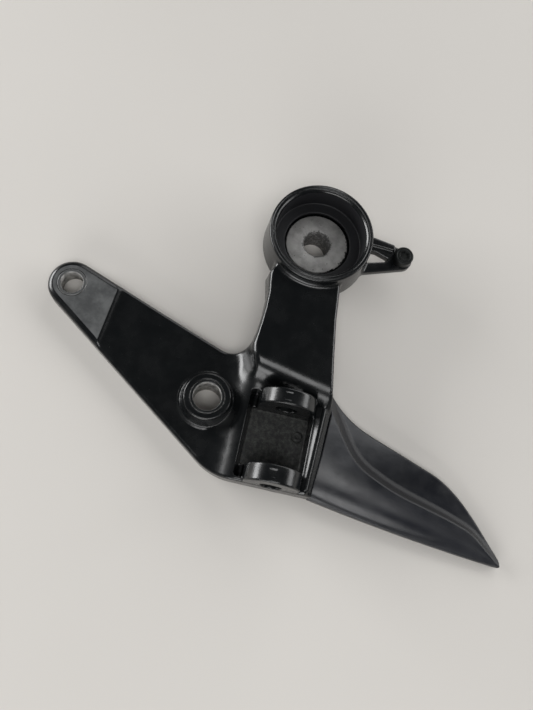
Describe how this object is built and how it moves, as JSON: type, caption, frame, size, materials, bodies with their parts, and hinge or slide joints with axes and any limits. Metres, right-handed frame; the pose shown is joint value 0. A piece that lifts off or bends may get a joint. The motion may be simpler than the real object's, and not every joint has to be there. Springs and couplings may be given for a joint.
{
  "type": "motorcycle rider footrest bracket",
  "caption": "Painted cast footrest bracket with bolt cup, spacer boss, bolt eye, open peg clevis and moulded heel guard.",
  "frame": {"origin": "axis of the cup's bolt hole on the mounting plane, where the hub meets the frame of the motorcycle", "axes": "+Z outboard along the bolt holes, +Y along the peg pin hole towards the cup, +X towards the heel guard's tip"},
  "size_m": [0.1995, 0.1341, 0.0263],
  "materials": {
    "black_paint": "satin to gloss black paint over a cast aluminium skin",
    "bare_seat": "bare machined metal, dull grey, with paint overspray at its edges",
    "sleeve_steel": "drawn steel tube, rough bored",
    "guard_plastic": "satin blue-black moulding with faint flow marks",
    "insert_brass": "turned brass",
    "zinc_steel": "bright zinc plate",
    "post_steel": "black coated steel, rubbed grey in the drive"
  },
  "bodies": {
    "root": {"bracket": "black_paint", "cup_seat": "bare_seat", "boss_sleeve": "sleeve_steel", "eye_sleeve": "sleeve_steel", "heel_guard": "guard_plastic", "heel_guard_inserts": "insert_brass", "heel_guard_screws": "zinc_steel", "heel_guard_washers": "zinc_steel", "spring_post": "post_steel"}
  },
  "joints": []
}
